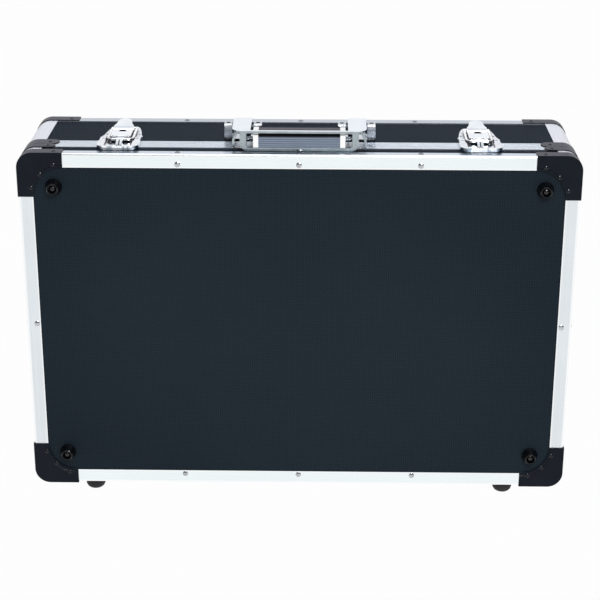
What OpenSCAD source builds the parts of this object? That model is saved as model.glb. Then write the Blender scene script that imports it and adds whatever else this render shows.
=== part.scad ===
// Carrying case for guitar effect pedals.
// Boards in aluminium edge profiles, black corner guards, a deep lid that
// carries the handle and two lockable draw latches, and a shallow base that
// carries the pedal board and the keepers.
// The case stands on its hinge side. +Z is up, +X runs along the width, and
// the underside of the base faces -Y. The origin is at the centre of the
// bounding box in X and Y, on the plane that the bottom feet stand on.

/* [Case] */
// Outside width of the shell
case_w = 590; // [560:2:640]
// Outside height of the shell, from hinge side to handle side
case_h = 384; // [360:2:420]
// Outside depth of the closed shell
case_d = 144; // [140:1:170]
// Depth of the base, from its outer face to the parting line
base_d = 34.2; // [33:0.2:36]
// Rounding of the four long corners
corner_r = 16; // [14:0.5:18]

/* [Boards and profiles] */
// Thickness of the laminated boards
board_t = 5; // [4:0.5:5.5]
// Sheet thickness of the aluminium profiles
sheet_t = 1.2; // [1:0.1:1.5]
// Width of the edge profile on the front and rear faces
edge_face = 15.4; // [14:0.2:17]
// Width of the base's edge profile on the sides
edge_side = 10.6; // [9.8:0.2:13]
// Width of the lid's edge profile on the sides
lid_edge_side = 15.4; // [13:0.2:16]
// Width of the base's closure rail
base_rail_w = 9; // [8:0.1:9.4]
// Width of the lid's closure rail
lid_rail_w = 14.4; // [13.4:0.1:16]
// Length of the corner post's flat on each side
post_leg = 23.6; // [22:0.2:25]
// Distance of the outer profile rivets from the centre
rivet_pitch = 127; // [110:1:140]

/* [Corner guards] */
// Thickness of the guards
guard_t = 0.8; // [0.6:0.1:1.6]
// Length of each leg of a corner guard
guard_leg = 47.6; // [45:0.2:52]

/* [Feet] */
// Height of the bottom feet
foot_h = 15.5; // [14:0.5:18]
// Radius of the bottom feet
foot_r = 10.9; // [9:0.1:12]
// How far the face feet stand out of the front face
face_foot_h = 9; // [8:0.5:12]
// Distance of the face feet from the shell's edges
face_foot_in = 37; // [35:0.5:42]
// Distance of the bottom feet from the centre
foot_x = 231; // [215:1:240]

/* [Latches] */
// Distance of each latch from the centre
latch_x = 191; // [180:0.5:205]
// Rise of the lever's plate above the rails
lever_z = 5.4; // [5.4:0.1:6]

/* [Handle] */
// Half the distance between the middles of the two handle arms
arm_x = 60.8; // [59.4:0.2:66]

/* [Inside] */
// Thickness of the foam in the lid
foam_t = 25; // [15:1:35]
// Thickness of the pedal board
board_in_t = 6.5; // [5:0.5:8]

/* [Hidden] */
$fn = 48;
W = case_w;
H = case_h;
D = case_d;
S = sheet_t;
B = board_t;
PL = base_d;                  // parting line
LP = base_d + 0.3;            // where the lid starts
IN = S + B;                   // inner face of a board
slot_u = 12.6;                // where the boards enter the corner posts
rivet_r = 3.1;
rivet_h = 1.1;
small_r = 2.3;                // heads of the guards' rivets
small_h = 0.9;
rear_most = guard_t + small_h;
y_off = -(D + rear_most - face_foot_h) / 2;
hinge_y = PL + 0.15;
hinge_z = -4.2;
hinge_xs = [-170, 170];
hinge_len = 70;
hp_y = 65;                    // handle pivot
hp_z = 11.5;
lev_y = 46;                   // lever pivot
lev_z = 4.1;
bail_y = 86;                  // bail pivot on the lever
bail_z = 3.8;
bar_y = 40.9;                 // front bar of the bail
wire_r = 1.5;
plate_t = 1.2;                // latch plate
plug_y = 66.4;                // lock plug

// ---------------------------------------------------------------- helpers

// Everything is drawn with the front face at y = 0 and the shell's lowest
// surface at z = 0, then set into the frame of the part.
module placed() { translate([0, y_off, foot_h]) children(); }

// Extrude a 2D shape drawn in X-Z along Y, from a to b.
module ext_y(a, b) { translate([0, b, 0]) rotate([90, 0, 0]) linear_extrude(height = b - a) children(); }
// Extrude a 2D shape drawn in Y-Z along X, from a to b.
module ext_x(a, b) { translate([a, 0, 0]) rotate([90, 0, 90]) linear_extrude(height = b - a) children(); }
// Extrude a 2D shape drawn in X-Y along Z, from a to b.
module ext_z(a, b) { translate([0, 0, a]) linear_extrude(height = b - a) children(); }

// Copies a piece drawn for the lower left corner to all four corners.
module corners() {
    for (sx = [0, 1], sz = [0, 1])
        translate([0, 0, sz * H]) mirror([0, 0, sz]) mirror([sx, 0, 0])
            translate([-W / 2, 0, 0]) children();
}
// Turns a piece drawn for the front of the base into one for the lid's rear.
module to_rear() { translate([0, D, 0]) mirror([0, 1, 0]) children(); }
module to_top() { translate([0, 0, H]) mirror([0, 0, 1]) children(); }
module to_right() { mirror([1, 0, 0]) children(); }

// Rectangle a by b with the corner at the origin rounded.
module rc_sq(a, b, r) {
    translate([r, 0]) square([a - r, b]);
    translate([0, r]) square([r, b - r]);
    translate([r, r]) circle(r);
}
// Rectangle with all four corners rounded, from (x0, y0) to (x1, y1).
module rr(x0, y0, x1, y1, r) {
    translate([x0 + r, y0]) square([x1 - x0 - 2 * r, y1 - y0]);
    translate([x0, y0 + r]) square([x1 - x0, y1 - y0 - 2 * r]);
    for (x = [x0 + r, x1 - r], y = [y0 + r, y1 - r]) translate([x, y]) circle(r);
}
// L-shaped sheet section: leg a along X, leg b along Y.
module l_section(a, b, t, r) {
    difference() {
        rc_sq(a, b, r);
        translate([t, t]) square([a, b]);
    }
}
// Domed rivet: head of radius a and height h on the plane z = 0, with a
// shank of length l below it.
module rivet(l, a = rivet_r, h = rivet_h) {
    k = (a * a - h * h) / (2 * h);
    rotate_extrude() {
        intersection() {
            translate([0, -k]) circle(r = k + h, $fn = 64);
            square([a, h]);
        }
        translate([0, -l]) square([1.5, l + 0.2]);
    }
}
module rivet_hole() { translate([0, 0, -3]) cylinder(r = 1.55, h = 6); }

// Rivet places. Each line is a position and the direction the head faces:
// "f" to -Y, "s" to -X (left side), "d" to -Z (bottom), drawn for the lower
// left corner or for the bottom or left edge.
module facing(d) {
    if (d == "f") rotate([90, 0, 0]) children();
    if (d == "s") rotate([0, -90, 0]) children();
    if (d == "d") rotate([180, 0, 0]) children();
}
guard_spots = [[[38, -guard_t, 12.6], "f"], [[23.4, -guard_t, 22.9], "f"], [[13.4, -guard_t, 37.6], "f"],
               [[38.2, 6.4, -guard_t], "d"], [[-guard_t, 6.4, 38.2], "s"]];
module spots(list) { for (s = list) translate(s[0]) facing(s[1]) children(); }

function edge_x_spots(y) = concat([for (x = [-1, 0, 1]) [[x * rivet_pitch, 0, 11.3], "f"]],
                                  [for (x = [-1, 0, 1]) [[x * rivet_pitch, y, 0], "d"]]);
function edge_z_spots(y) = [[[-W / 2 + 11.3, 0, H / 2], "f"], [[-W / 2, y, H / 2], "s"]];
base_ry = 6.2;                // rivets on the sides, from the outer face
lid_ry = 8.6;
guard_d = 13.6;               // depth of the corner guards' bands
// closure bands: [first y, last y, radius of the round ends]
base_band = [PL - 12, PL - 0.1];
lid_band = [LP + 0.1, LP + 16.5];
function mid(b) = (b[0] + b[1]) / 2;
function band_spots(b) = [[[29.2, mid(b), -guard_t], "d"], [[-guard_t, mid(b), 29.2], "s"]];

// ---------------------------------------------------------------- boards

module face_board() {
    ext_y(S, IN) rr(-W / 2 + S, S, W / 2 - S, H - S, corner_r - S);
}
module wall_bottom(y0, y1) {
    translate([-W / 2 + slot_u, y0, S]) cube([W - 2 * slot_u, y1 - y0, B]);
}
module wall_left(y0, y1) {
    translate([-W / 2 + S, y0, slot_u]) cube([B, y1 - y0, H - 2 * slot_u]);
}
module base_panel() { color([0.13, 0.15, 0.18]) placed() face_board(); }
module base_wall_top() { color([0.13, 0.15, 0.18]) placed() to_top() wall_bottom(IN, PL - 2); }
module base_wall_bottom() { color([0.13, 0.15, 0.18]) placed() wall_bottom(IN, PL - 2); }
module base_wall_left() { color([0.13, 0.15, 0.18]) placed() wall_left(IN, PL - 2); }
module base_wall_right() { color([0.13, 0.15, 0.18]) placed() to_right() wall_left(IN, PL - 2); }
module lid_panel() { color([0.13, 0.15, 0.18]) placed() to_rear() face_board(); }
module lid_wall_top() { color([0.2, 0.22, 0.26]) placed() to_top() wall_bottom(PL + 5.5, D - IN); }
module lid_wall_bottom() { color([0.2, 0.22, 0.26]) placed() wall_bottom(PL + 5.5, D - IN); }
module lid_wall_left() { color([0.2, 0.22, 0.26]) placed() wall_left(PL + 5.5, D - IN); }
module lid_wall_right() { color([0.2, 0.22, 0.26]) placed() to_right() wall_left(PL + 5.5, D - IN); }

// ---------------------------------------------------------------- profiles

// Edge profile along the bottom front edge, with its rivet holes.
module edge_along_x(side = edge_side, ry = base_ry) {
    difference() {
        ext_x(-W / 2 + post_leg + 0.2, W / 2 - post_leg - 0.2) l_section(side, edge_face, S, 2.4);
        spots(edge_x_spots(ry)) rivet_hole();
    }
}
module edge_along_z(side = edge_side, ry = base_ry) {
    difference() {
        translate([-W / 2, 0, 0]) ext_z(post_leg + 0.2, H - post_leg - 0.2) l_section(edge_face, side, S, 2.4);
        spots(edge_z_spots(ry)) rivet_hole();
    }
}
module base_edge_top() { color("gainsboro") placed() to_top() edge_along_x(); }
module base_edge_bottom() { color("gainsboro") placed() edge_along_x(); }
module base_edge_left() { color("gainsboro") placed() edge_along_z(); }
module base_edge_right() { color("gainsboro") placed() to_right() edge_along_z(); }
module lid_edge_top() { color("gainsboro") placed() to_rear() to_top() edge_along_x(lid_edge_side, lid_ry); }
module lid_edge_bottom() { color("gainsboro") placed() to_rear() edge_along_x(lid_edge_side, lid_ry); }
module lid_edge_left() { color("gainsboro") placed() to_rear() edge_along_z(lid_edge_side, lid_ry); }
module lid_edge_right() { color("gainsboro") placed() to_rear() to_right() edge_along_z(lid_edge_side, lid_ry); }

// Corner post: rounded outside, slots for the two boards.
module post_section() {
    difference() {
        rc_sq(post_leg, post_leg, corner_r);
        translate([IN + S, IN + S]) square(40);
        translate([slot_u, S]) square([40, B]);
        translate([S, slot_u]) square([B, 40]);
        translate([20, S]) square([40, 40]);
        translate([S, 20]) square([40, 40]);
    }
}
module base_corner_posts() { color("whitesmoke") placed() corners() ext_y(IN, PL) post_section(); }
module lid_corner_posts() { color("whitesmoke") placed() corners() ext_y(LP, D - IN) post_section(); }

// Closure rails, drawn in Y (depth) and inward distance from the outer face.
module base_rail_section() {
    difference() {
        union() {
            translate([PL - base_rail_w, 0]) square([base_rail_w, S]);
            translate([PL - 2, 0]) square([2, IN + S]);
            translate([PL - 11, IN]) square([11, S]);
            translate([PL - 0.1, 4.4]) square([3.1, 2]);
        }
        translate([PL - base_rail_w / 2 - 0.35, -0.1]) square([0.7, 0.4]);
    }
}
module lid_rail_section() {
    difference() {
        union() {
            translate([LP, 0]) square([lid_rail_w, S]);
            translate([LP, 0]) square([5.2, 4]);
            translate([PL + 3.5, 0]) square([2, IN + S]);
            translate([PL + 3.5, IN]) square([12, S]);
        }
        for (g = [4.6, 7.6, 11]) translate([LP + g - 0.35, -0.1]) square([0.7, 0.5]);
    }
}
// The section's Y stays, its inward distance becomes X or Z.
module rail_bottom() { ext_x(-W / 2 + post_leg + 0.2, W / 2 - post_leg - 0.2) children(); }
module rail_left() {
    translate([-W / 2, 0, 0]) ext_z(post_leg + 0.2, H - post_leg - 0.2) mirror([1, -1]) children();
}
module base_closure_rails() {
    color("silver") placed() {
        rail_bottom() base_rail_section();
        to_top() rail_bottom() base_rail_section();
        rail_left() base_rail_section();
        to_right() rail_left() base_rail_section();
    }
}
module lid_closure_rails() {
    color("silver") placed() {
        rail_bottom() lid_rail_section();
        to_top() rail_bottom() lid_rail_section();
        rail_left() lid_rail_section();
        to_right() rail_left() lid_rail_section();
    }
}

// ---------------------------------------------------------------- guards

// Corner guard: a plate with a concave inner edge and a band round the corner.
module corner_guard() {
    difference() {
        union() {
            ext_y(-guard_t, 0) difference() {
                translate([-guard_t, -guard_t]) rc_sq(guard_leg + guard_t, guard_leg + guard_t, corner_r + guard_t);
                translate([guard_leg, guard_leg]) circle(r = guard_leg - edge_face, $fn = 96);
            }
            ext_y(-0.01, guard_d) difference() {
                translate([-guard_t, -guard_t]) rc_sq(guard_leg + guard_t, guard_leg + guard_t, corner_r + guard_t);
                rc_sq(guard_leg + 20, guard_leg + 20, corner_r);
            }
        }
        spots(guard_spots) rivet_hole();
    }
}
// Band round a corner at the closure, with round riveted ends.
module closure_guard(b) {
    difference() {
        union() {
            ext_y(b[0], b[1]) intersection() {
                difference() {
                    translate([-guard_t, -guard_t]) rc_sq(60, 60, corner_r + guard_t);
                    rc_sq(80, 80, corner_r);
                }
                union() {
                    translate([-5, -5]) square([36, 8 + corner_r]);
                    translate([-5, -5]) square([8 + corner_r, 36]);
                }
            }
            translate([31, mid(b), -guard_t]) cylinder(r = (b[1] - b[0]) / 2, h = guard_t);
            translate([-guard_t, mid(b), 31]) rotate([0, 90, 0]) cylinder(r = (b[1] - b[0]) / 2, h = guard_t);
        }
        spots(band_spots(b)) rivet_hole();
    }
}
module base_corner_guards() { color([0.15, 0.16, 0.19]) placed() corners() corner_guard(); }
module lid_corner_guards() { color([0.15, 0.16, 0.19]) placed() to_rear() corners() corner_guard(); }
module base_closure_guards() { color([0.15, 0.16, 0.19]) placed() corners() closure_guard(base_band); }
module lid_closure_guards() { color([0.15, 0.16, 0.19]) placed() corners() closure_guard(lid_band); }

module shell_rivets(ry) {
    spots(edge_x_spots(ry)) rivet(S);
    to_top() spots(edge_x_spots(ry)) rivet(S);
    spots(edge_z_spots(ry)) rivet(S);
    to_right() spots(edge_z_spots(ry)) rivet(S);
}
module base_rivets() { color("silver") placed() shell_rivets(base_ry); }
module lid_rivets() { color("silver") placed() to_rear() shell_rivets(lid_ry); }
module base_guard_rivets() {
    color([0.2, 0.2, 0.23]) placed() corners() {
        spots(guard_spots) rivet(guard_t, small_r, small_h);
        spots(band_spots(base_band)) rivet(guard_t, small_r, small_h);
    }
}
module lid_guard_rivets() {
    color([0.2, 0.2, 0.23]) placed() {
        to_rear() corners() spots(guard_spots) rivet(guard_t, small_r, small_h);
        corners() spots(band_spots(lid_band)) rivet(guard_t, small_r, small_h);
    }
}

// ---------------------------------------------------------------- feet

module face_foot_places() {
    for (x = [-1, 1], z = [face_foot_in, H - face_foot_in]) translate([x * (W / 2 - face_foot_in), S, z]) rotate([90, 0, 0]) children();
}
module face_feet() {
    h = face_foot_h + S;
    color([0.09, 0.09, 0.1]) placed() face_foot_places() rotate_extrude()
        polygon([[2.1, 0], [9, 0], [9, 1.6], [8.6, 2.4], [6.3, h - 0.8], [5.5, h], [4.7, h], [4.5, h - 3.6], [2.1, h - 3.6]]);
}
module face_foot_screws() {
    h = face_foot_h + S;
    color([0.1, 0.1, 0.11]) placed() face_foot_places() rotate_extrude() {
        square([2, h - 3.6]);
        intersection() {
            translate([0, h - 3.6 - 2.4]) circle(r = 4.9, $fn = 64);
            translate([0, h - 3.6]) square([4.2, 3]);
        }
    }
}
// Round-bottomed rubber foot hanging from z = 0, with a spigot into the wall.
module foot() {
    rotate_extrude() {
        translate([0, -foot_h]) square([foot_r - 7, foot_h]);
        translate([0, -foot_h + 7]) square([foot_r, foot_h - 7]);
        translate([0, -foot_h]) intersection() {
            translate([foot_r - 7, 7]) circle(r = 7, $fn = 96);
            square([foot_r, 7.1]);
        }
        translate([0, -0.1]) square([4, S + 0.1]);
    }
}
module base_feet() {
    color([0.16, 0.15, 0.17]) placed() for (x = [-1, 1]) translate([x * foot_x, 19.7, 0]) foot();
}
module lid_feet() {
    color([0.16, 0.15, 0.17]) placed() for (x = [-1, 1]) translate([x * foot_x, D - 28, 0]) foot();
}

// ---------------------------------------------------------------- inside

module board_battens() {
    color("burlywood") placed() for (x = [-200, 0, 200]) translate([x - 15, IN, 30]) cube([30, 6, H - 60]);
}
module pedal_board() {
    color([0.75, 0.6, 0.42]) placed()
        ext_y(IN + 6, IN + 6 + board_in_t) rr(-W / 2 + 18, 14, W / 2 - 18, H - 14, 6);
}
module board_carpet() {
    color([0.12, 0.12, 0.13]) placed()
        ext_y(IN + 6 + board_in_t, IN + 9 + board_in_t) rr(-W / 2 + 18, 14, W / 2 - 18, H - 14, 6);
}
module lid_foam() {
    color([0.22, 0.22, 0.24]) placed()
        ext_y(D - IN - 0.3 - foam_t, D - IN - 0.3) rr(-W / 2 + 9, 9, W / 2 - 9, H - 9, 6);
}

// ---------------------------------------------------------------- hinges

// Knuckles k of five along the hinge, on the axis.
module knuckles(ks) {
    p = hinge_len / 5;
    for (k = ks) translate([-hinge_len / 2 + k * p + 0.15, hinge_y, hinge_z]) rotate([0, 90, 0]) cylinder(r = 3.2, h = p - 0.3);
}
module knuckle_webs(ks, y0, y1) {
    p = hinge_len / 5;
    for (k = ks) translate([-hinge_len / 2 + k * p + 0.15, y0, -1.5]) cube([p - 0.3, y1 - y0, 1.5]);
}
module hinge_half_base() {
    difference() {
        union() {
            translate([-hinge_len / 2, hinge_y - 22, -1.5]) cube([hinge_len, 18, 1.5]);
            knuckle_webs([0, 2, 4], hinge_y - 5, hinge_y);
            knuckles([0, 2, 4]);
        }
        translate([-40, hinge_y, hinge_z]) rotate([0, 90, 0]) cylinder(r = 1.55, h = 80);
    }
}
module hinge_half_lid() {
    difference() {
        union() {
            translate([-hinge_len / 2, hinge_y + 4, -1.5]) cube([hinge_len, 21, 1.5]);
            knuckle_webs([1, 3], hinge_y, hinge_y + 5);
            knuckles([1, 3]);
        }
        translate([-40, hinge_y, hinge_z]) rotate([0, 90, 0]) cylinder(r = 1.55, h = 80);
    }
}
module hinge_leaves_base() { color("gainsboro") placed() for (x = hinge_xs) translate([x, 0, 0]) hinge_half_base(); }
module hinge_leaves_lid() { color("gainsboro") placed() for (x = hinge_xs) translate([x, 0, 0]) hinge_half_lid(); }
module hinge_pins() {
    color("silver") placed() for (x = hinge_xs) translate([x - hinge_len / 2 - 0.5, hinge_y, hinge_z])
        rotate([0, 90, 0]) cylinder(r = 1.5, h = hinge_len + 1);
}

// ---------------------------------------------------------------- handle

// Bracket for one arm: two ears on a foot plate, z = 0 on the rails' plane.
module handle_bracket(s) {
    x0 = arm_x - 20;
    x1 = arm_x + 20;
    mirror([s < 0 ? 1 : 0, 0, 0]) translate([0, 0, H]) difference() {
        union() {
            ext_z(-S, 1.3) rr(x0, 56, x1, 76, 3);
            for (x = [x0, x1 - 8.5]) ext_x(x, x + 8.5) {
                translate([58, 0]) square([14, 13]);
                rr(58, 4, 72, 16.8, 2.4);
            }
        }
        ext_x(x0 - 1, x1 + 1) translate([hp_y, hp_z]) circle(3.02);
        for (x = [x0 + 4.2, x1 - 4.2]) translate([x, hp_y, 15.4]) cylinder(r = 2.5, h = 6);
    }
}
module handle_bracket_left() { color("gainsboro") placed() handle_bracket(-1); }
module handle_bracket_right() { color("gainsboro") placed() handle_bracket(1); }
module handle_pins() {
    color("silver") placed() for (s = [-1, 1]) translate([s * arm_x - 20, hp_y, H + hp_z])
        rotate([0, 90, 0]) cylinder(r = 3, h = 40);
}
// Half of the handle's frame, for +X.
module handle_half() {
    a0 = arm_x - 9.75;
    a1 = arm_x + 9.75;
    // top plate of the arm, rounded into the front
    ext_z(19.8, 21.8) {
        translate([a0, 24]) square([19.5, 42]);
        translate([0, 11.8]) square([a1 - 12, 4]);
        translate([a0, 11.8]) square([a1 - 12 - a0, 14]);
        intersection() {
            translate([a1 - 12, 23.8]) circle(12);
            translate([a0, 11.8]) square([19.5, 12.3]);
        }
    }
    // walls of the arm, with the eye round the pin
    for (x = [a0, a1 - 2]) ext_x(x, x + 2) difference() {
        union() {
            translate([46, 14]) square([20, 6]);
            translate([hp_y, hp_z]) circle(6.5);
            polygon([[46, 19.9], [46, 15], [hp_y - 4, 6.4], [hp_y, 6.4], [hp_y, 19.9]]);
        }
        translate([hp_y, hp_z]) circle(3.08);
    }
    // sloping outer cheek under the plate
    ext_y(20, 48) polygon([[a1 - 7, 19.9], [a1 - 4.8, 19.9], [a1, 10], [a1, 2.5], [a1 - 2.2, 2.5], [a1 - 2.2, 9.5]]);
    // side column that joins the front frame, the plate and the core rod
    ext_x(arm_x - 5.5, arm_x + 0.7) {
        translate([14, 4]) square([18, 16]);
        translate([12.8, 9]) square([10, 11]);
    }
}
module handle_frame() {
    color("gainsboro") placed() translate([0, 0, H]) {
        handle_half();
        mirror([1, 0, 0]) handle_half();
        // front frame with its window
        ext_y(11.8, 15.8) difference() {
            union() {
                rr(-arm_x - 1.4, 0.1, arm_x + 1.4, 19, 9);
                translate([-arm_x - 1.4, 10]) square([2 * arm_x + 2.8, 11.8]);
            }
            rr(-arm_x + 5.2, 4, arm_x - 5.2, 19.6, 2);
        }
        // core rod through the grip
        translate([-arm_x, 26, 11]) rotate([0, 90, 0]) cylinder(r = 4, h = 2 * arm_x);
    }
}
module grip_section(g) {
    polygon([[12.6 - g, 4.2], [12.6 - g, 15.4 + 4 * g], [15.9, 15.4 + 4 * g], [15.9, 20 + g], [34, 20 + g], [38 + g, 16],
             [38 + g, 6.5], [34, 2.6 - g], [15.9, 2.6 - g], [15.9, 4.2]]);
}
module handle_grip() {
    color([0.35, 0.38, 0.44]) placed() translate([0, 0, H]) difference() {
        ext_x(-arm_x + 18, arm_x - 18) grip_section(0);
        translate([-80, 26, 11]) rotate([0, 90, 0]) cylinder(r = 4, h = 160);
    }
}
module handle_ferrules() {
    color("white") placed() translate([0, 0, H]) for (s = [0, 1]) mirror([s, 0, 0]) difference() {
        ext_x(arm_x - 18, arm_x - 12.6) grip_section(0.5);
        translate([0, 26, 11]) rotate([0, 90, 0]) cylinder(r = 4, h = 80);
    }
}

// ---------------------------------------------------------------- latches

module at_latch(s) { translate([s * latch_x, 0, H]) children(); }

// Plate on the lid: joggled down onto the board, with a raised shoulder on
// each side of the bail and two ears for the lever.
module latch_plate(s) {
    color("gainsboro") placed() at_latch(s) difference() {
        union() {
            ext_z(0, plate_t) plate_outline();
            ext_z(-S, 0.2) intersection() {
                plate_outline();
                translate([-30, LP + lid_rail_w + 0.4]) square([60, 60]);
            }
            for (x = [-21.6, 15.4]) ext_x(x, x + 6.2)
                polygon([[LP + 0.7, 0.5], [LP + 0.7, 4.2], [50, 4.2], [62, 1], [62, 0.5]]);
            for (x = [-8.8, 7.2]) ext_x(x, x + 1.6) {
                translate([lev_y - 1.8, plate_t - 0.1]) square([3.6, lev_z - plate_t + 0.1]);
                translate([lev_y, lev_z]) circle(1.8);
            }
        }
        ext_x(-12, 12) translate([lev_y, lev_z]) circle(1.22);
        for (x = [-19.5, 15]) translate([x, 43.9, 3.2]) cube([4.5, 1.4, 2]);
        for (x = [-17.5, 17.5]) translate([x, 71, -3]) cylinder(r = 1.3, h = 6);
    }
}
module plate_outline() {
    half = [[20.7, LP + 0.4], [21.7, LP + 1.6], [21.7, 63.6], [20.5, 66], [19.6, 72], [19, 78], [17.4, 88], [15.6, 96], [13.2, 101], [11, 102]];
    polygon(concat([for (p = half) p], [for (i = [len(half) - 1:-1:0]) [-half[i][0], half[i][1]]]));
}
module lever_pins() {
    color("silver") placed() for (s = [-1, 1]) at_latch(s)
        translate([-10.2, lev_y, lev_z]) rotate([0, 90, 0]) cylinder(r = 1.2, h = 20.4);
}
module keyhole() {
    translate([-4.1, plug_y - 3.2]) square([8.2, 2.8]);
    translate([0, plug_y + 1.2]) circle(3.3);
}
// Lever: a channel with two cheeks, notched at the front for the hook, and a
// raised finger tab at the rear.
module lever(s) {
    color("gainsboro") placed() at_latch(s) difference() {
        union() {
            ext_z(lever_z, lever_z + 1.2) rr(-11, lev_y - 2.2, 11, 78, 2.5);
            intersection() {
                ext_x(-11, 11) polygon([[76.4, lever_z], [78.6, lever_z + 2], [98.2, lever_z + 5], [97.9, lever_z + 6.2], [77.6, lever_z + 3.2], [76, lever_z + 1.1]]);
                ext_z(0, 30) {
                    polygon([[-11, 75], [11, 75], [10.6, 79], [8.4, 84.5], [7.6, 90], [-7.6, 90], [-8.4, 84.5], [-10.6, 79]]);
                    translate([0, 90.4]) circle(7.6);
                }
            }
            for (x = [-10.3, 9.1]) ext_x(x, x + 1.2) {
                translate([lev_y, lev_z]) circle(1.8);
                translate([bail_y, bail_z]) circle(2.3);
                polygon([[lev_y - 1.8, lev_z], [lev_y, lev_z - 1.8], [bail_y, bail_z - 2.3], [bail_y + 2.2, bail_z], [78, lever_z + 1], [lev_y - 1.8, lever_z + 0.2]]);
            }
        }
        translate([0, 0, -5]) linear_extrude(height = 20) keyhole();
        translate([-4.6, 40, lever_z - 1]) cube([9.2, lev_y - 40 + 0.4, 4]);
        for (x = [-9.05, 6.95]) {
            translate([x, 40, lever_z - 1]) cube([2.1, lev_y - 40, 4]);
            ext_x(x, x + 2.1) translate([lev_y, lev_z]) circle(2.05);
        }
        ext_x(-12, 12) translate([lev_y, lev_z]) circle(1.29);
        ext_x(-12, 12) translate([bail_y, bail_z]) circle(1.29);
    }
}
// Bail: a round wire bent to a U, its ends turned in as pivots.
module bail(s) {
    a = 13.2;
    c = 6;
    color("whitesmoke") placed() at_latch(s) {
        translate([c - a, bar_y, bail_z]) rotate([0, 90, 0]) cylinder(r = wire_r, h = 2 * (a - c));
        for (m = [0, 1]) mirror([m, 0, 0]) {
            translate([a - c, bar_y + c, bail_z]) rotate([0, 0, -90]) rotate_extrude(angle = 90) translate([c, 0]) circle(wire_r);
            translate([a, bar_y + c, bail_z]) rotate([-90, 0, 0]) cylinder(r = wire_r, h = bail_y - bar_y - c);
            translate([a, bail_y, bail_z]) sphere(wire_r);
            translate([8.4, bail_y, bail_z]) rotate([0, 90, 0]) cylinder(r = 1.2, h = a - 8.4);
        }
    }
}
// Lock plug under the keyhole, with its cam.
module lock_plug(s) {
    color("dimgray") placed() at_latch(s) difference() {
        union() {
            translate([0, plug_y, 2.4]) cylinder(r = 5.6, h = lever_z - 2.5);
            translate([-1.6, plug_y - 7.2, 2.4]) cube([3.2, 7.2, 1]);
        }
        ext_z(3.8, 9) keyhole();
    }
}
// Keeper on the base: a hollow body with a round-ended front and a well.
module keeper_outline(g) {
    translate([-14, 12.2 + g]) square([28, 20]);
    for (x = [-14, 14]) translate([x, 20.7]) circle(8.5 - g);
    translate([-22.5 + g, 20.7]) square([45 - 2 * g, PL - 21]);
}
module keeper(s) {
    color("gainsboro") placed() at_latch(s) difference() {
        union() {
            ext_z(-S, 0.1) intersection() { keeper_outline(0); translate([-30, 10]) square([60, PL - base_rail_w - 10.1]); }
            ext_z(0, 4.6) keeper_outline(0);
        }
        ext_z(-2, 3.4) intersection() { keeper_outline(1.4); translate([-30, 10]) square([60, PL - base_rail_w - 11.5]); }
        ext_z(1.2, 6) rr(-14.4, 14.6, 14.4, 60, 2);
    }
}
// Forked hooks in the keepers' wells: two prongs in front of the bail's bar
// and a seat under it, open at the top and the rear.
module keeper_hooks() {
    color("gainsboro") placed() for (s = [-1, 1]) at_latch(s) {
        for (x = [-3.3, 0.6]) ext_x(x, x + 2.7)
            polygon([[26.5, 1.2], [26.5, 2.2], [31.6, 3.9], [33, 4.7], [38, 5.6], [38.7, 5], [39.2, 4], [39.2, 2.1], [39.4, 2.1], [39.4, 1.5], [33.8, 1.5], [33.8, 1.2]]);
        ext_z(1.5, 2.1) translate([-3.3, 34.4]) square([6.6, 7.4]);
    }
}
module latch_plate_left() { latch_plate(-1); }
module latch_plate_right() { latch_plate(1); }
module lever_left() { lever(-1); }
module lever_right() { lever(1); }
module bail_left() { bail(-1); }
module bail_right() { bail(1); }
module lock_plug_left() { lock_plug(-1); }
module lock_plug_right() { lock_plug(1); }
module keeper_left() { keeper(-1); }
module keeper_right() { keeper(1); }

// ---------------------------------------------------------------- output

base_panel();
base_wall_top();
base_wall_bottom();
base_wall_left();
base_wall_right();
base_edge_top();
base_edge_bottom();
base_edge_left();
base_edge_right();
base_corner_posts();
base_closure_rails();
base_corner_guards();
base_closure_guards();
base_rivets();
base_guard_rivets();
face_feet();
face_foot_screws();
base_feet();
board_battens();
pedal_board();
board_carpet();
keeper_left();
keeper_right();
keeper_hooks();
hinge_leaves_base();
hinge_pins();
lid_panel();
lid_wall_top();
lid_wall_bottom();
lid_wall_left();
lid_wall_right();
lid_edge_top();
lid_edge_bottom();
lid_edge_left();
lid_edge_right();
lid_corner_posts();
lid_closure_rails();
lid_corner_guards();
lid_closure_guards();
lid_rivets();
lid_guard_rivets();
lid_feet();
lid_foam();
hinge_leaves_lid();
handle_bracket_left();
handle_bracket_right();
handle_pins();
handle_frame();
handle_grip();
handle_ferrules();
latch_plate_left();
latch_plate_right();
lever_pins();
lever_left();
lever_right();
bail_left();
bail_right();
lock_plug_left();
lock_plug_right();
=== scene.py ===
import math

import bmesh
import bpy
import numpy as np
from mathutils import Matrix, Vector


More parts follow.
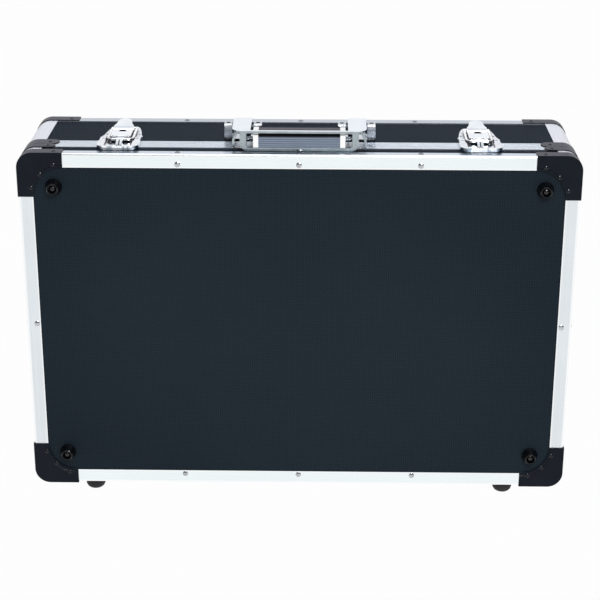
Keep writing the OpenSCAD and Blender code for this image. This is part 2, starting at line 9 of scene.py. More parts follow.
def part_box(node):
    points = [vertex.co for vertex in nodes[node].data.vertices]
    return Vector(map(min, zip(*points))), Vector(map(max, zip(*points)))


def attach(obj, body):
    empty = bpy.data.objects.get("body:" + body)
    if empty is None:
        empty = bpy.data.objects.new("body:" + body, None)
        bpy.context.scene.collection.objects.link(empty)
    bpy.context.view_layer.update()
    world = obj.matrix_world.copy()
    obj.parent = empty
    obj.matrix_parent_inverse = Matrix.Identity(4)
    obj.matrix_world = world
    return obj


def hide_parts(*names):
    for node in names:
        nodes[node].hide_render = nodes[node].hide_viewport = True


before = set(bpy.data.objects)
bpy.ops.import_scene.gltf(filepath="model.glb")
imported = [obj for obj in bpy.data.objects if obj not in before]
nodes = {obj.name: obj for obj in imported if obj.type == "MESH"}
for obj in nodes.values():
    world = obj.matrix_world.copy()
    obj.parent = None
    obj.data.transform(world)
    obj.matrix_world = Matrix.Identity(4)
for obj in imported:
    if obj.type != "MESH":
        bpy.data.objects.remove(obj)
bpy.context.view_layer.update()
scene = bpy.context.scene

# The part is drawn in millimetres from the front face (y) and the shell's
# lowest surface (z); this is where that point lies in the frame.
Y0, Z0 = -68.35, 15.5
W, H, D = 590.0, 384.0, 144.0


def P(x, y, z):
    return Vector((x / 1000, (y + Y0) / 1000, (z + Z0) / 1000))


# ------------------------------------------------------------------ camera

def make_camera():
    pitch, roll, yaw = 0.3735, 0.0024, -0.0144
    rz = Matrix.Rotation(yaw, 3, "Z")
    rr = Matrix.Rotation(roll, 3, "Z")
    axes = Matrix(((1, 0, 0), (0, -math.sin(pitch), -math.cos(pitch)), (0, math.cos(pitch), -math.sin(pitch))))
    m = rr @ axes @ rz                    # rows: right, down, forward
    right, down, fwd = (Vector(r) for r in m)
    cam = bpy.data.objects.new("camera", bpy.data.cameras.new("camera"))
    scene.collection.objects.link(cam)
    rot = Matrix((right, -down, -fwd)).transposed()
    cam.matrix_world = Matrix.Translation(P(24.64, -1613.6, 854.4)) @ rot.to_4x4()
    cam.data.sensor_width = 36.0
    cam.data.lens = 1610.9 * 36.0 / 600.0
    cam.data.clip_start, cam.data.clip_end = 0.05, 60
    cam.data.dof.use_dof = False
    scene.camera = cam
    return cam


camera = make_camera()
scene.view_settings.view_transform = "Standard"
scene.view_settings.look = "None"
scene.view_settings.exposure = 0.0
scene.view_settings.gamma = 1.0


# ------------------------------------------------------------------ node helpers

class Mat:
    """A small builder for a node material on one Principled shader."""

    def __init__(self, name):
        self.m = bpy.data.materials.new(name)
        self.m.use_nodes = True
        self.t = self.m.node_tree
        self.bsdf = next(n for n in self.t.nodes if n.type == "BSDF_PRINCIPLED")

    def node(self, kind, **props):
        n = self.t.nodes.new(kind)
        for k, v in props.items():
            setattr(n, k, v)
        return n

    def link(self, a, b):
        self.t.links.new(a, b)

    def set(self, **values):
        for k, v in values.items():
            self.bsdf.inputs[k.replace("_", " ")].default_value = v

    def coord(self):
        return self.node("ShaderNodeTexCoord").outputs["Object"]

    def scaled(self, vec, s):
        n = self.node("ShaderNodeMapping")
        n.inputs["Scale"].default_value = s
        self.link(vec, n.inputs["Vector"])
        return n.outputs["Vector"]

    def noise(self, vec, scale, detail=3.0, rough=0.5):
        n = self.node("ShaderNodeTexNoise")
        n.inputs["Scale"].default_value = scale
        n.inputs["Detail"].default_value = detail
        n.inputs["Roughness"].default_value = rough
        self.link(vec, n.inputs["Vector"])
        return n.outputs["Fac"]

    def voronoi(self, vec, scale, feature="F1"):
        n = self.node("ShaderNodeTexVoronoi", feature=feature)
        n.inputs["Scale"].default_value = scale
        self.link(vec, n.inputs["Vector"])
        return n.outputs["Distance"]

    def math(self, op, a, b=None, c=None, clamp=False):
        n = self.node("ShaderNodeMath", operation=op, use_clamp=clamp)
        for i, v in enumerate((a, b, c)):
            if v is None:
                continue
            if isinstance(v, (int, float)):
                n.inputs[i].default_value = v
            else:
                self.link(v, n.inputs[i])
        return n.outputs[0]

    def remap(self, v, lo, hi, to_lo=0.0, to_hi=1.0):
        n = self.node("ShaderNodeMapRange")
        self.link(v, n.inputs["Value"])
        for k, x in (("From Min", lo), ("From Max", hi), ("To Min", to_lo), ("To Max", to_hi)):
            n.inputs[k].default_value = x
        return n.outputs["Result"]

    def mix(self, fac, a, b):
        n = self.node("ShaderNodeMix", data_type="RGBA")
        sockets = [s for s in n.inputs if s.enabled]
        f, sa, sb = sockets[0], sockets[1], sockets[2]
        if isinstance(fac, (int, float)):
            f.default_value = fac
        else:
            self.link(fac, f)
        for s, v in ((sa, a), (sb, b)):
            if isinstance(v, (tuple, list)):
                s.default_value = (*v[:3], 1)
            else:
                self.link(v, s)
        return next(s for s in n.outputs if s.enabled)

    def xyz(self, vec):
        n = self.node("ShaderNodeSeparateXYZ")
        self.link(vec, n.inputs[0])
        return n.outputs[0], n.outputs[1], n.outputs[2]

    def combine(self, x, y, z):
        n = self.node("ShaderNodeCombineXYZ")
        for i, v in enumerate((x, y, z)):
            if isinstance(v, (int, float)):
                n.inputs[i].default_value = v
            else:
                self.link(v, n.inputs[i])
        return n.outputs[0]

    def bump(self, height, strength, distance, normal=None):
        n = self.node("ShaderNodeBump")
        n.inputs["Strength"].default_value = strength
        n.inputs["Distance"].default_value = distance
        self.link(height, n.inputs["Height"])
        if normal is not None:
            self.link(normal, n.inputs["Normal"])
        self.link(n.outputs["Normal"], self.bsdf.inputs["Normal"])
        return n.outputs["Normal"]

    def facing_up(self, lo, hi):
        """0 on upright faces, 1 on faces that look up."""
        n = self.node("ShaderNodeNewGeometry")
        return self.remap(self.xyz(n.outputs["Normal"])[2], lo, hi)

    def crevice_shade(self, reach, lo, hi):
        """Mask for painted shade: 0 deep in gaps and corners, 1 in the open."""
        n = self.node("ShaderNodeAmbientOcclusion", samples=6)
        n.inputs["Distance"].default_value = reach
        return self.remap(n.outputs["AO"], lo, hi)

    def color(self, socket):
        self.link(socket, self.bsdf.inputs["Base Color"])

    def rough(self, socket):
        self.link(socket, self.bsdf.inputs["Roughness"])


# ------------------------------------------------------------------ materials

def laminate(name, u, v, lo, hi, spec):
    """Black laminate embossed with a fine diamond pattern in the plane of two axes."""
    m = Mat(name)
    c = m.xyz(m.coord())
    k = math.pi / 0.0024
    a = m.math("SINE", m.math("MULTIPLY", m.math("ADD", c[u], c[v]), k))
    b = m.math("SINE", m.math("MULTIPLY", m.math("SUBTRACT", c[u], c[v]), k))
    cell = m.math("MULTIPLY_ADD", m.math("MULTIPLY", a, b), 0.5, 0.5)
    fine = m.noise(m.coord(), 900, 3)
    broad = m.noise(m.coord(), 5, 2)
    h = m.math("ADD", cell, m.math("MULTIPLY", fine, 0.35))
    m.bump(h, 0.5, 0.0003)
    tone = m.math("ADD", m.math("MULTIPLY", cell, 0.8), m.math("MULTIPLY", broad, 0.4))
    # Painted light: the colour brightens towards the middle of the case's front, a soft pool of light painted into
    # the laminate.
    far = m.math("ADD", m.math("POWER", m.math("DIVIDE", c[0], 0.30), 2.0),
                 m.math("POWER", m.math("DIVIDE", m.math("SUBTRACT", c[2], 0.19), 0.19), 2.0))
    painted_centre_light = m.remap(far, 0.0, 1.0, 0.26, 0.0)
    m.color(m.mix(m.math("ADD", m.remap(tone, 0.1, 1.1), painted_centre_light), lo, hi))
    m.rough(m.remap(m.math("ADD", cell, broad), 0.2, 1.5, 0.42, 0.55))
    m.set(Specular_IOR_Level=spec)
    return m.m


def aluminium(name, top_shade_gain):
    """Satin anodised extrusion with fine drawn lines along each length, with painted light and shade: darker
    upright profiles, darker faces that look up and pale bands along the edges.
    """
    m = Mat(name)
    x, y, z = m.xyz(m.coord())
    ax = m.math("ABSOLUTE", x)
    upright = m.math("GREATER_THAN", ax, 0.2714)
    sx = m.math("MULTIPLY", x, m.remap(upright, 0, 1, 6, 1500))
    sy = m.math("MULTIPLY", y, 1500)
    sz = m.math("MULTIPLY", z, m.remap(upright, 0, 1, 1500, 6))
    lines = m.noise(m.combine(sx, sy, sz), 1.0, 2)
    broad = m.noise(m.coord(), 18, 3)
    m.bump(lines, 0.12, 0.00008)
    face = m.mix(m.remap(m.math("ADD", lines, broad), 0.6, 1.4), (0.845, 0.905, 0.925), (0.90, 0.955, 0.97))
    # Painted shade: the upright side profiles take a darker copy of the colour than the horizontal ones.
    upright_shade = m.mix(m.remap(m.math("ADD", lines, broad), 0.6, 1.4), (0.715, 0.755, 0.785), (0.80, 0.85, 0.875))
    face = m.mix(upright, face, upright_shade)
    # Painted highlight: a pale band along both edges of each profile face.
    zz = m.math("SUBTRACT", z, Z0 / 1000)
    t = m.math("ADD", m.math("MULTIPLY", m.math("SUBTRACT", W / 2000, ax), upright),
               m.math("MULTIPLY", m.math("MINIMUM", zz, m.math("SUBTRACT", H / 1000, zz)), m.math("SUBTRACT", 1.0, upright)))
    edge_highlight = m.math("MAXIMUM", m.remap(t, 0.0139, 0.0146), m.remap(t, 0.0030, 0.0022))
    face = m.mix(m.math("MULTIPLY", edge_highlight, 0.85), face, (0.985, 0.99, 1.0))
    # Painted shade: faces that look up take a darker colour, scaled by the gain argument.
    top_face_shade = m.mix(m.remap(m.math("ADD", lines, broad), 0.6, 1.4), tuple(k * top_shade_gain for k in (0.60, 0.65, 0.735)), tuple(k * top_shade_gain for k in (0.70, 0.755, 0.84)))
    m.color(m.mix(m.facing_up(0.55, 0.95), face, top_face_shade))
    m.rough(m.remap(m.math("ADD", lines, m.math("MULTIPLY", broad, 0.6)), 0.5, 1.2, 0.22, 0.34))
    m.set(Metallic=1.0)
    return m.m


def post_metal():
    """Pale corner posts, drawn along their length."""
    m = Mat("corner_post_metal")
    vec = m.scaled(m.coord(), (900, 12, 900))
    lines = m.noise(vec, 1.0, 2)
    m.bump(lines, 0.1, 0.00008)
    m.color(m.mix(m.remap(lines, 0.3, 0.7), (0.74, 0.75, 0.82), (0.84, 0.85, 0.92)))
    m.rough(m.remap(lines, 0.3, 0.7, 0.30, 0.42))
    m.set(Metallic=1.0)
    return m.m


def moulded_black(name, base, rough=(0.28, 0.40), grain=700, spec=0.5):
    """Moulded plastic with a fine spark texture and faint handling marks."""
    m = Mat(name)
    fine = m.noise(m.coord(), grain, 4)
    broad = m.noise(m.coord(), 35, 3)
    m.bump(fine, 0.16, 0.00012)
    m.color(m.mix(m.remap(broad, 0.3, 0.7), base, tuple(x * 1.45 for x in base)))
    m.rough(m.remap(m.math("ADD", m.math("MULTIPLY", fine, 0.4), broad), 0.4, 1.0, *rough))
    m.set(Specular_IOR_Level=spec)
    return m.m


def guard_plastic():
    """Moulded corner plastic: spark texture, a rib along the hollow edge, and a
    pale painted reflection of the overhead light on the faces that look up."""
    m = Mat("guard_plastic")
    x, y, z = m.xyz(m.coord())
    u = m.math("SUBTRACT", W / 2000, m.math("ABSOLUTE", x))
    zz = m.math("SUBTRACT", z, Z0 / 1000)
    v = m.math("MINIMUM", zz, m.math("SUBTRACT", H / 1000, zz))
    du = m.math("SUBTRACT", u, 0.046)
    dv = m.math("SUBTRACT", v, 0.046)
    r = m.math("SQRT", m.math("ADD", m.math("MULTIPLY", du, du), m.math("MULTIPLY", dv, dv)))
    step = m.remap(r, 0.0330, 0.0337)
    fine = m.noise(m.coord(), 700, 4)
    broad = m.noise(m.coord(), 30, 3)
    m.bump(m.math("ADD", step, m.math("MULTIPLY", fine, 0.16)), 0.9, 0.0006)
    # Painted reflection: faces that look up take a pale hazy colour standing in for the overhead light reflected in
    # them.
    up = m.facing_up(0.35, 0.95)
    dark = m.mix(m.remap(broad, 0.3, 0.7), (0.0010, 0.0034, 0.0088), (0.0034, 0.0066, 0.0135))
    haze = m.mix(m.remap(broad, 0.3, 0.7), (0.030, 0.030, 0.047), (0.046, 0.045, 0.069))
    m.color(m.mix(up, dark, haze))
    m.rough(m.remap(m.math("ADD", m.math("MULTIPLY", fine, 0.4), broad), 0.4, 1.0, 0.30, 0.42))
    m.set(Specular_IOR_Level=0.14)
    return m.m


def plated_frame():
    """Bright plating of the handle's frame with painted light: mirror-bright where it looks up,
    a painted darker reflection on its upright faces, and painted shade in its gaps and corners."""
    m = Mat("handle_plating")
    broad = m.noise(m.coord(), 60, 2)
    haze = m.noise(m.coord(), 90, 4)
    m.bump(broad, 0.05, 0.002)
    # Painted light and shade: faces that look up take the bright copy, upright faces the darker one.
    painted_lit_top = m.mix(m.remap(haze, 0.3, 0.7), (0.82, 0.865, 0.93), (0.89, 0.93, 0.99))
    painted_dark_side = m.mix(m.remap(haze, 0.3, 0.7), (0.31, 0.365, 0.39), (0.42, 0.48, 0.505))
    c = m.mix(m.facing_up(0.12, 0.5), painted_dark_side, painted_lit_top)
    # Painted shade: gaps and corners are near-black.
    m.color(m.mix(m.crevice_shade(0.008, 0.20, 0.75), (0.010, 0.014, 0.020), c))
    m.rough(m.remap(haze, 0.4, 1.1, 0.12, 0.24))
    m.set(Metallic=1.0)
    return m.m


def open_foam():
    """Charcoal open-cell foam: pores over soft mottling."""
    m = Mat("open_cell_foam")
    pores = m.voronoi(m.coord(), 900)
    big = m.voronoi(m.coord(), 260)
    broad = m.noise(m.coord(), 25, 3)
    m.bump(m.math("ADD", pores, m.math("MULTIPLY", big, 0.7)), 0.8, 0.0012)
    m.color(m.mix(m.remap(m.math("ADD", pores, m.math("MULTIPLY", broad, 0.5)), 0.2, 1.0), (0.012, 0.012, 0.014), (0.050, 0.050, 0.055)))
    m.set(Roughness=0.95, Specular_IOR_Level=0.15)
    return m.m


def loop_pile():
    """Black loop carpet: tufts in rows, each with its own tone."""
    m = Mat("loop_pile")
    loops = m.voronoi(m.scaled(m.coord(), (1, 1, 0.75)), 420)
    fibre = m.noise(m.coord(), 3000, 3)
    broad = m.noise(m.coord(), 12, 3)
    h = m.math("ADD", m.math("SUBTRACT", 1.0, loops), m.math("MULTIPLY", fibre, 0.3))
    m.bump(h, 0.9, 0.0015)
    t = m.math("ADD", m.math("MULTIPLY", loops, 0.7), m.math("MULTIPLY", broad, 0.4))
    m.color(m.mix(m.remap(t, 0.1, 0.9), (0.040, 0.040, 0.043), (0.008, 0.008, 0.009)))
    m.set(Roughness=0.95, Specular_IOR_Level=0.1)
    return m.m


def metal(name, lo, hi, rough, wave=0.05, wave_scale=60, fine=900, gaps=0.0, up_dark=None):
    """Plated or drawn metal: slight waviness, fine polish lines, a little haze,
    painted shade where pieces meet, and with up_dark a painted darker colour on faces that look up."""
    m = Mat(name)
    broad = m.noise(m.coord(), wave_scale, 2)
    micro = m.noise(m.scaled(m.coord(), (1, 0.12, 1)), fine, 3)
    haze = m.noise(m.coord(), 90, 4)
    h = m.math("ADD", m.math("MULTIPLY", broad, 1.0), m.math("MULTIPLY", micro, 0.06))
    m.bump(h, wave, 0.002)
    c = m.mix(m.remap(haze, 0.3, 0.7), lo, hi)
    # Painted shade: faces that look up take the darker up_dark colour.
    if up_dark:
        c = m.mix(m.facing_up(0.3, 0.8), c, up_dark)
    # Painted shade: gaps and corners are near-black.
    if gaps:
        c = m.mix(m.crevice_shade(gaps, 0.30, 0.86), (0.010, 0.014, 0.026), c)
    m.color(c)
    m.rough(m.remap(m.math("ADD", haze, m.math("MULTIPLY", micro, 0.5)), 0.4, 1.1, *rough))
    m.set(Metallic=1.0)
    return m.m


def lever_plating():
    """Bright plating with painted shade in its gaps; the walls of the keyhole are painted black as shade."""
    m = Mat("lever_plating")
    x, y, z = m.xyz(m.coord())
    haze = m.noise(m.coord(), 90, 4)
    broad = m.noise(m.coord(), 60, 2)
    m.bump(broad, 0.05, 0.002)
    c = m.mix(m.remap(haze, 0.3, 0.7), (0.86, 0.89, 0.94), (0.96, 0.975, 1.0))
    # Painted shade: the walls of the keyhole are painted near-black.
    rel = m.math("ABSOLUTE", m.math("SUBTRACT", m.math("ABSOLUTE", x), 0.1910))
    along = m.math("ABSOLUTE", m.math("SUBTRACT", y, (Y0 + 67.2) / 1000))
    flat = m.math("ABSOLUTE", m.xyz(m.node("ShaderNodeNewGeometry").outputs["Normal"])[2])
    keyhole_shade = m.math("MULTIPLY", m.math("LESS_THAN", rel, 0.0047), m.math("LESS_THAN", along, 0.0046))
    keyhole_shade = m.math("MULTIPLY", keyhole_shade, m.remap(flat, 0.85, 0.65))
    # Painted shade: gaps and corners are near-black.
    c = m.mix(m.crevice_shade(0.004, 0.30, 0.86), (0.010, 0.014, 0.026), c)
    m.color(m.mix(keyhole_shade, c, (0.004, 0.004, 0.006)))
    m.rough(m.remap(haze, 0.4, 1.1, 0.06, 0.14))
    m.set(Metallic=1.0)
    return m.m


def keeper_plating():
    """Drawn and plated keeper: pale and smoky patches painted along its curved front stand in
    for reflections of the room, with a painted highlight at the centre, a paler painted top and painted shade in
    its gaps."""
    m = Mat("keeper_plating")
    x, y, z = m.xyz(m.coord())
    rel = m.math("SUBTRACT", m.math("ABSOLUTE", x), 0.1910)
    # Painted reflection: pale and dark patches along the front.
    painted_reflection_patch = m.noise(m.combine(m.math("MULTIPLY", x, 95), 0.0, m.math("MULTIPLY", z, 30)), 1.0, 2)
    haze = m.noise(m.coord(), 90, 4)
    m.bump(m.noise(m.coord(), 60, 2), 0.08, 0.002)
    # Painted highlight: a bright band at the keeper's centre.
    centre_highlight = m.remap(m.math("ABSOLUTE", rel), 0.0045, 0.0065, 1.0, 0.0)
    t = m.math("MAXIMUM", m.remap(painted_reflection_patch, 0.50, 0.56), centre_highlight)
    front = m.mix(t, (0.42, 0.49, 0.55), (0.97, 0.98, 1.0))
    top = m.mix(m.remap(haze, 0.3, 0.7), (0.70, 0.74, 0.79), (0.92, 0.94, 0.97))
    # Painted light: faces that look up take a paler colour than the front.
    c = m.mix(m.facing_up(0.15, 0.6), front, top)
    # Painted shade: gaps and corners are near-black.
    m.color(m.mix(m.crevice_shade(0.004, 0.15, 0.60), (0.008, 0.012, 0.022), c))
    m.rough(m.remap(haze, 0.4, 1.1, 0.10, 0.2))
    m.set(Metallic=1.0)
    return m.m


def rubber():
    m = Mat("rubber")
    fine = m.noise(m.coord(), 1200, 4)
    broad = m.noise(m.coord(), 60, 3)
    m.bump(fine, 0.3, 0.0002)
    m.color(m.mix(m.remap(broad, 0.3, 0.7), (0.010, 0.009, 0.011), (0.022, 0.020, 0.024)))
    m.rough(m.remap(fine, 0.3, 0.7, 0.55, 0.75))
    m.set(Specular_IOR_Level=0.35)
    return m.m


def grip_plastic():
    """Blue-grey moulded grip with fine ribs along its length; painted shadow makes the slopes
    and the faces that run under the frame near-black, and painted shade darkens its flat top."""
    m = Mat("grip_plastic")
    x, y, z = m.xyz(m.coord())
    up = m.xyz(m.node("ShaderNodeNewGeometry").outputs["Normal"])[2]
    rib = m.math("SINE", m.math("MULTIPLY", m.math("ADD", z, m.math("MULTIPLY", y, 0.35)), 2 * math.pi / 0.0023))
    rib = m.math("MULTIPLY_ADD", rib, 0.5, 0.5)
    fine = m.noise(m.coord(), 800, 3)
    m.bump(m.math("ADD", rib, m.math("MULTIPLY", fine, 0.12)), 0.5, 0.0004)
    face = m.mix(rib, (0.122, 0.152, 0.205), (0.258, 0.302, 0.382))
    # Painted shadow: slopes and faces behind the frame's front take this near-black colour.
    painted_shadow = m.mix(rib, (0.0015, 0.0018, 0.0025), (0.004, 0.005, 0.007))
    top = m.mix(rib, (0.045, 0.043, 0.060), (0.085, 0.082, 0.110))
    under_frame = m.remap(y, (Y0 + 12.6 + 1.4) / 1000, (Y0 + 12.6 + 2.6) / 1000)
    c = m.mix(m.math("MAXIMUM", under_frame, m.remap(up, 0.12, 0.3)), face, painted_shadow)
    # Painted shade: flat faces that look up take a darker colour than the front.
    m.color(m.mix(m.remap(up, 0.93, 0.985), c, top))
    m.rough(m.remap(fine, 0.3, 0.7, 0.36, 0.5))
    m.set(Specular_IOR_Level=0.15)
    return m.m


def plywood():
    m = Mat("plywood")
    vec = m.scaled(m.coord(), (3.2, 60, 60))
    ring = m.noise(vec, 1.0, 5, 0.6)
    fleck = m.noise(m.scaled(m.coord(), (60, 900, 900)), 1.0, 3)
    t = m.math("ADD", m.math("MULTIPLY", ring, 0.8), m.math("MULTIPLY", fleck, 0.3))
    m.color(m.mix(m.remap(t, 0.3, 0.8), (0.62, 0.43, 0.26), (0.40, 0.25, 0.13)))
    m.bump(t, 0.2, 0.0003)
    m.rough(m.remap(fleck, 0.2, 0.8, 0.45, 0.65))
    return m.m


def floor_material():
    """Pale translucent sheet, lit evenly from behind so that only the faintest
    shade shows, and what hangs below the standing level still shows through."""
    m = Mat("floor_sheet")
    n = m.noise(m.coord(), 40, 2)
    m.color(m.mix(n, (0.028, 0.028, 0.028), (0.034, 0.034, 0.034)))
    m.set(Roughness=0.9, Specular_IOR_Level=0.0, Emission_Strength=0.965, Alpha=0.05)
    m.bsdf.inputs["Emission Color"].default_value = (1, 1, 1, 1)
    return m.m


# One black laminate in three copies with different colours for front, top and side faces: painted light and shade
# by face direction.
LAM_XZ = laminate("laminate_face", 0, 2, (0.0008, 0.0066, 0.0118), (0.0136, 0.0244, 0.0348), 0.11)
LAM_XY = laminate("laminate_top", 0, 1, (0.0015, 0.0060, 0.0125), (0.0105, 0.0195, 0.0360), 0.022)
LAM_YZ = laminate("laminate_side", 1, 2, (0.0060, 0.0125, 0.0195), (0.0110, 0.0200, 0.0290), 0.13)
ALU = aluminium("aluminium", 1.0)
# The lid's copy paints its faces that look up darker still, by 0.78: painted shade.
ALU_LID = aluminium("aluminium_lid", 0.78)
POST = post_metal()
GUARD = guard_plastic()
FRAME = plated_frame()
FOAM = open_foam()
PILE = loop_pile()
FOOT = moulded_black("foot_plastic", (0.0022, 0.0024, 0.0034), (0.10, 0.2), 400, 0.3)
SCREW = moulded_black("black_screw", (0.002, 0.002, 0.003), (0.03, 0.06), 200, 0.55)
RUBBER = rubber()
# gaps and up_dark paint shade into the rivets, chrome, latch plates and bracket plating.
RIVET = metal("rivet_metal", (0.38, 0.39, 0.42), (0.58, 0.60, 0.64), (0.06, 0.12), gaps=0.0035, up_dark=(0.30, 0.305, 0.33))
DARK_RIVET = moulded_black("dark_rivet", (0.002, 0.003, 0.006), (0.06, 0.12), 300, 0.3)
CHROME = metal("chrome", (0.84, 0.875, 0.925), (0.95, 0.965, 0.995), (0.06, 0.14), gaps=0.004)
PLATE = metal("latch_plate_plating", (0.72, 0.76, 0.83), (0.90, 0.925, 0.97), (0.08, 0.18), wave=0.10, gaps=0.009)
WIRE = metal("bail_wire_plating", (0.93, 0.945, 0.97), (1.0, 1.0, 1.0), (0.05, 0.12))
KEEPER = keeper_plating()
FERRULE = metal("ferrule_plating", (0.97, 0.975, 0.98), (1.0, 1.0, 1.0), (0.10, 0.18))
SATIN = metal("bracket_plating", (0.52, 0.55, 0.60), (0.66, 0.69, 0.74), (0.16, 0.28), gaps=0.006)
GRIP = grip_plastic()
PLY = plywood()
LOCK = metal("lock_metal", (0.010, 0.010, 0.012), (0.022, 0.022, 0.026), (0.3, 0.45))
LEVER = lever_plating()

by_node = {}
for n in nodes:
    if n in ("base_panel", "lid_panel"):
        by_node[n] = LAM_XZ
    elif "wall_top" in n or "wall_bottom" in n:
        by_node[n] = LAM_XY
    elif "wall_" in n:
        by_node[n] = LAM_YZ
    elif n.startswith("lid_edge"):
        by_node[n] = ALU_LID
    elif "edge" in n or "closure_rails" in n:
        by_node[n] = ALU
    elif "posts" in n:
        by_node[n] = POST
    elif "guard_rivets" in n:
        by_node[n] = DARK_RIVET
    elif "guards" in n:
        by_node[n] = GUARD
    elif "rivets" in n:
        by_node[n] = RIVET
    elif n == "face_feet":
        by_node[n] = FOOT
    elif n == "face_foot_screws":
        by_node[n] = SCREW
    elif n in ("base_feet", "lid_feet"):
        by_node[n] = RUBBER
    elif n in ("pedal_board", "board_battens"):
        by_node[n] = PLY
    elif n == "handle_grip":
        by_node[n] = GRIP
    elif "lock_plug" in n:
        by_node[n] = LOCK
    elif n == "handle_frame":
        by_node[n] = FRAME
    elif n in ("handle_bracket_left", "handle_bracket_right"):
        by_node[n] = SATIN
    elif n in ("keeper_left", "keeper_right"):
        by_node[n] = KEEPER
    elif "latch_plate" in n:
        by_node[n] = PLATE
    elif n.startswith("bail_"):
        by_node[n] = WIRE
    elif n in ("lever_left", "lever_right"):
        by_node[n] = LEVER
    elif n == "handle_ferrules":
        by_node[n] = FERRULE
    else:
        by_node[n] = CHROME


def paint(o, material):
    if o.material_slots:
        for s in o.material_slots:
            s.link = "OBJECT"
            s.material = material
    else:
        o.data.materials.append(material)


def bevel(o, width, segments=2, angle=38):
    b = o.modifiers.new("soft edges", "BEVEL")
    b.width = width
    b.segments = segments
    b.limit_method = "ANGLE"
    b.angle_limit = math.radians(angle)
    b.harden_normals = False
    b.use_clamp_overlap = True


for n, m in by_node.items():
    paint(nodes[n], m)

BEVELS = {"base_panel": 0.0003, "lid_panel": 0.0003, "pedal_board": 0.0006,
          "base_corner_guards": 0.0006, "lid_corner_guards": 0.0006,
          "base_closure_guards": 0.0005, "lid_closure_guards": 0.0005,
          "handle_grip": 0.0009, "handle_ferrules": 0.0008, "handle_frame": 0.0005,
          "handle_bracket_left": 0.0007, "handle_bracket_right": 0.0007,
          "keeper_left": 0.0005, "keeper_right": 0.0005, "latch_plate_left": 0.0004, "latch_plate_right": 0.0004,
          "lever_left": 0.0003, "lever_right": 0.0003, "keeper_hooks": 0.0003}
for n, w in BEVELS.items():
    if n in nodes:
        bevel(nodes[n], w)


# ------------------------------------------------------------------ soft pieces

def grid_pad(name, x0, x1, z0, z1, step, front, back, radius=6.0):
    """A closed pad in X-Z: front(x, z) gives its modelled face, back is flat."""
    nx = max(2, round((x1 - x0) / step)) + 1
    nz = max(2, round((z1 - z0) / step)) + 1
    xs = np.linspace(x0, x1, nx)
    zs = np.linspace(z0, z1, nz)
    gx, gz = np.meshgrid(xs, zs, indexing="ij")
    # pull the four corners in so that they are rounded like the pad's
    dx = np.minimum(gx - x0, x1 - gx)
    dz = np.minimum(gz - z0, z1 - gz)
    px, pz = gx.copy(), gz.copy()
    near = (dx < radius) & (dz < radius)
    a, b = radius - dx, radius - dz
    far = np.maximum(a, b) / np.maximum(np.hypot(a, b), 1e-9)
    sx = np.where(gx < (x0 + x1) / 2, 1, -1)
    sz = np.where(gz < (z0 + z1) / 2, 1, -1)
    px[near] = (gx + sx * a * (1 - far))[near]
    pz[near] = (gz + sz * b * (1 - far))[near]
    fy = front(px, pz)
    verts = [P(u, v, w) for u, v, w in zip(px.ravel(), fy.ravel(), pz.ravel())]
    verts += [P(u, back, w) for u, w in zip(px.ravel(), pz.ravel())]
    n = nx * nz
    faces = []
    flip = back > float(fy.mean())        # True when the modelled face looks to -Y
    for i in range(nx - 1):
        for k in range(nz - 1):
            q = (i * nz + k, (i + 1) * nz + k, (i + 1) * nz + k + 1, i * nz + k + 1)
            faces.append(q if flip else q[::-1])
            r = tuple(n + v for v in q)
            faces.append(r[::-1] if flip else r)
    ring = [i * nz for i in range(nx)] + [(nx - 1) * nz + k for k in range(1, nz)]
    ring += [i * nz + nz - 1 for i in range(nx - 2, -1, -1)] + [k for k in range(nz - 2, 0, -1)]
    for a1, b1 in zip(ring, ring[1:] + ring[:1]):
        q = (a1, n + a1, n + b1, b1)
        faces.append(q if flip else q[::-1])
    me = bpy.data.meshes.new(name)
    me.from_pydata([tuple(v) for v in verts], [], faces)
    me.update()
    bm = bmesh.new()
    bm.from_mesh(me)
    bmesh.ops.recalc_face_normals(bm, faces=bm.faces)
    bm.to_mesh(me)
    bm.free()
    for p in me.polygons:
        p.use_smooth = True
    o = bpy.data.objects.new(name, me)
    scene.collection.objects.link(o)
    return o


def local_box(node):
    lo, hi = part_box(node)
    return [lo[0] * 1000, lo[1] * 1000 - Y0, lo[2] * 1000 - Z0, hi[0] * 1000, hi[1] * 1000 - Y0, hi[2] * 1000 - Z0]


def make_foam():
    x0, y0, z0, x1, y1, z1 = local_box("lid_foam")
    pitch = 38.0

    def face(x, z):
        wave = 0.5 + 0.25 * (np.cos(2 * np.pi * x / pitch) + np.cos(2 * np.pi * (z - z0) / pitch))
        soft = np.clip(np.minimum(np.minimum(x - x0, x1 - x), np.minimum(z - z0, z1 - z)) / 5.0, 0, 1)
        y = y0 + 0.4 + 12.0 * (1 - wave ** 0.8)
        return y + (1 - soft) ** 2 * 2.5
    foam = grid_pad("lid_foam_pad", x0, x1, z0, z1, 3.2, face, y1)
    foam.data.materials.append(FOAM)
    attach(foam, "lid")
    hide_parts("lid_foam")


def make_carpet():
    x0, y0, z0, x1, y1, z1 = local_box("board_carpet")
    rng = np.random.default_rng(7)

    def face(x, z):
        row = np.sin(2 * np.pi * x / 5.2) * np.sin(2 * np.pi * z / 4.4)
        edge = np.minimum(np.minimum(x - x0, x1 - x), np.minimum(z - z0, z1 - z))
        return y1 - 0.25 - 0.35 * (1 - row) - 0.5 * rng.random(x.shape) - 0.9 * (1 - np.clip(edge / 3.0, 0, 1))
    pile = grid_pad("board_carpet_pile", x0, x1, z0, z1, 2.0, face, y0)
    pile.data.materials.append(PILE)
    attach(pile, "base")
    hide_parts("board_carpet")


make_foam()
make_carpet()


# ------------------------------------------------------------------ floor and light

def make_floor():
    bm = bmesh.new()
    bmesh.ops.create_circle(bm, cap_ends=True, segments=96, radius=14)
    me = bpy.data.meshes.new("floor")
    bm.to_mesh(me)
    bm.free()
    o = bpy.data.objects.new("floor", me)
    scene.collection.objects.link(o)
    o.data.materials.append(floor_material())
    return o


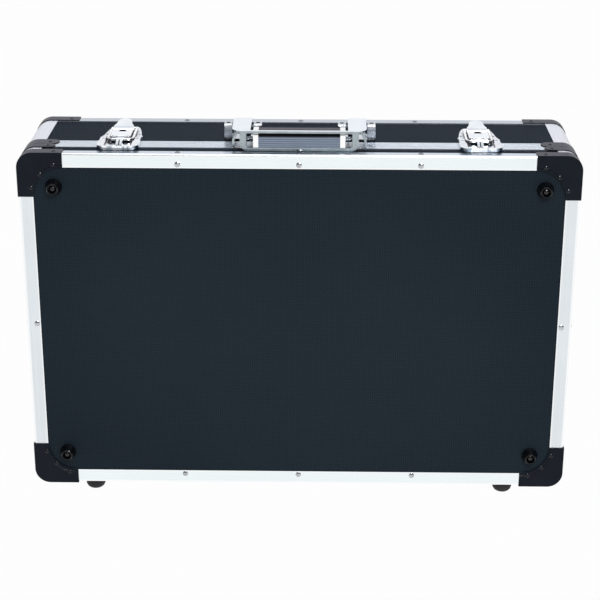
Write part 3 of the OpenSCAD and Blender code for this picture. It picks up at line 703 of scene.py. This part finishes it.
def area(name, loc, target, size, power, color=(1, 1, 1), size_y=None):
    d = bpy.data.lights.new(name, "AREA")
    d.energy = power
    d.color = color
    d.shape = "RECTANGLE"
    d.size = size
    d.size_y = size_y or size
    o = bpy.data.objects.new(name, d)
    scene.collection.objects.link(o)
    o.location = loc
    o.rotation_mode = "QUATERNION"
    o.rotation_quaternion = (Vector(target) - Vector(loc)).to_track_quat("-Z", "Y")
    return o


make_floor()
def make_world():
    """A white studio: pale sweep behind, dimmer room in front, softbox overhead,
    and a darker band to each side that gives the plated parts their contrast."""
    world = bpy.data.worlds.new("studio")
    scene.world = world
    world.use_nodes = True
    t = world.node_tree
    bg = next(n for n in t.nodes if n.type == "BACKGROUND")
    m = Mat.__new__(Mat)
    m.t = t
    x, y, z = m.xyz(m.node("ShaderNodeTexCoord").outputs["Generated"])
    back = m.remap(y, -0.15, 0.35)
    top = m.remap(z, 0.60, 0.85)
    rear = m.remap(z, 0.60, 0.80, 0.96, 0.60)
    room = m.remap(z, 0.03, 0.22, 0.85, 0.26)
    level = m.math("ADD", m.math("MULTIPLY", rear, back),
                   m.math("MULTIPLY", room, m.math("SUBTRACT", 1.0, back)))
    level = m.math("ADD", m.math("MULTIPLY", level, m.math("SUBTRACT", 1.0, top)), m.math("MULTIPLY", top, 0.85))
    side = m.math("MULTIPLY", m.remap(m.math("ABSOLUTE", x), 0.38, 0.52), m.remap(z, 0.0, 0.06))
    level = m.math("MULTIPLY", level, m.math("SUBTRACT", 1.0, m.math("MULTIPLY", side, 0.5)))
    down = m.remap(z, 0.0, -0.02)
    level = m.math("ADD", m.math("MULTIPLY", level, m.math("SUBTRACT", 1.0, down)), m.math("MULTIPLY", down, 0.985))
    m.link(m.mix(m.remap(z, 0.0, 1.0), (1.0, 1.0, 1.0), (0.93, 0.965, 1.0)), bg.inputs["Color"])
    m.link(level, bg.inputs["Strength"])


make_world()
area("overhead", (0, -0.1, 2.4), (0, 0, 0.2), 1.4, 9, size_y=0.9)
area("key", (0.5, -2.3, 2.2), (0, 0, 0.2), 0.7, 34)
glint = area("glint", (1.16, -1.85, 2.34), (0, 0, 0.2), 0.8, 60)
glint.visible_diffuse = False
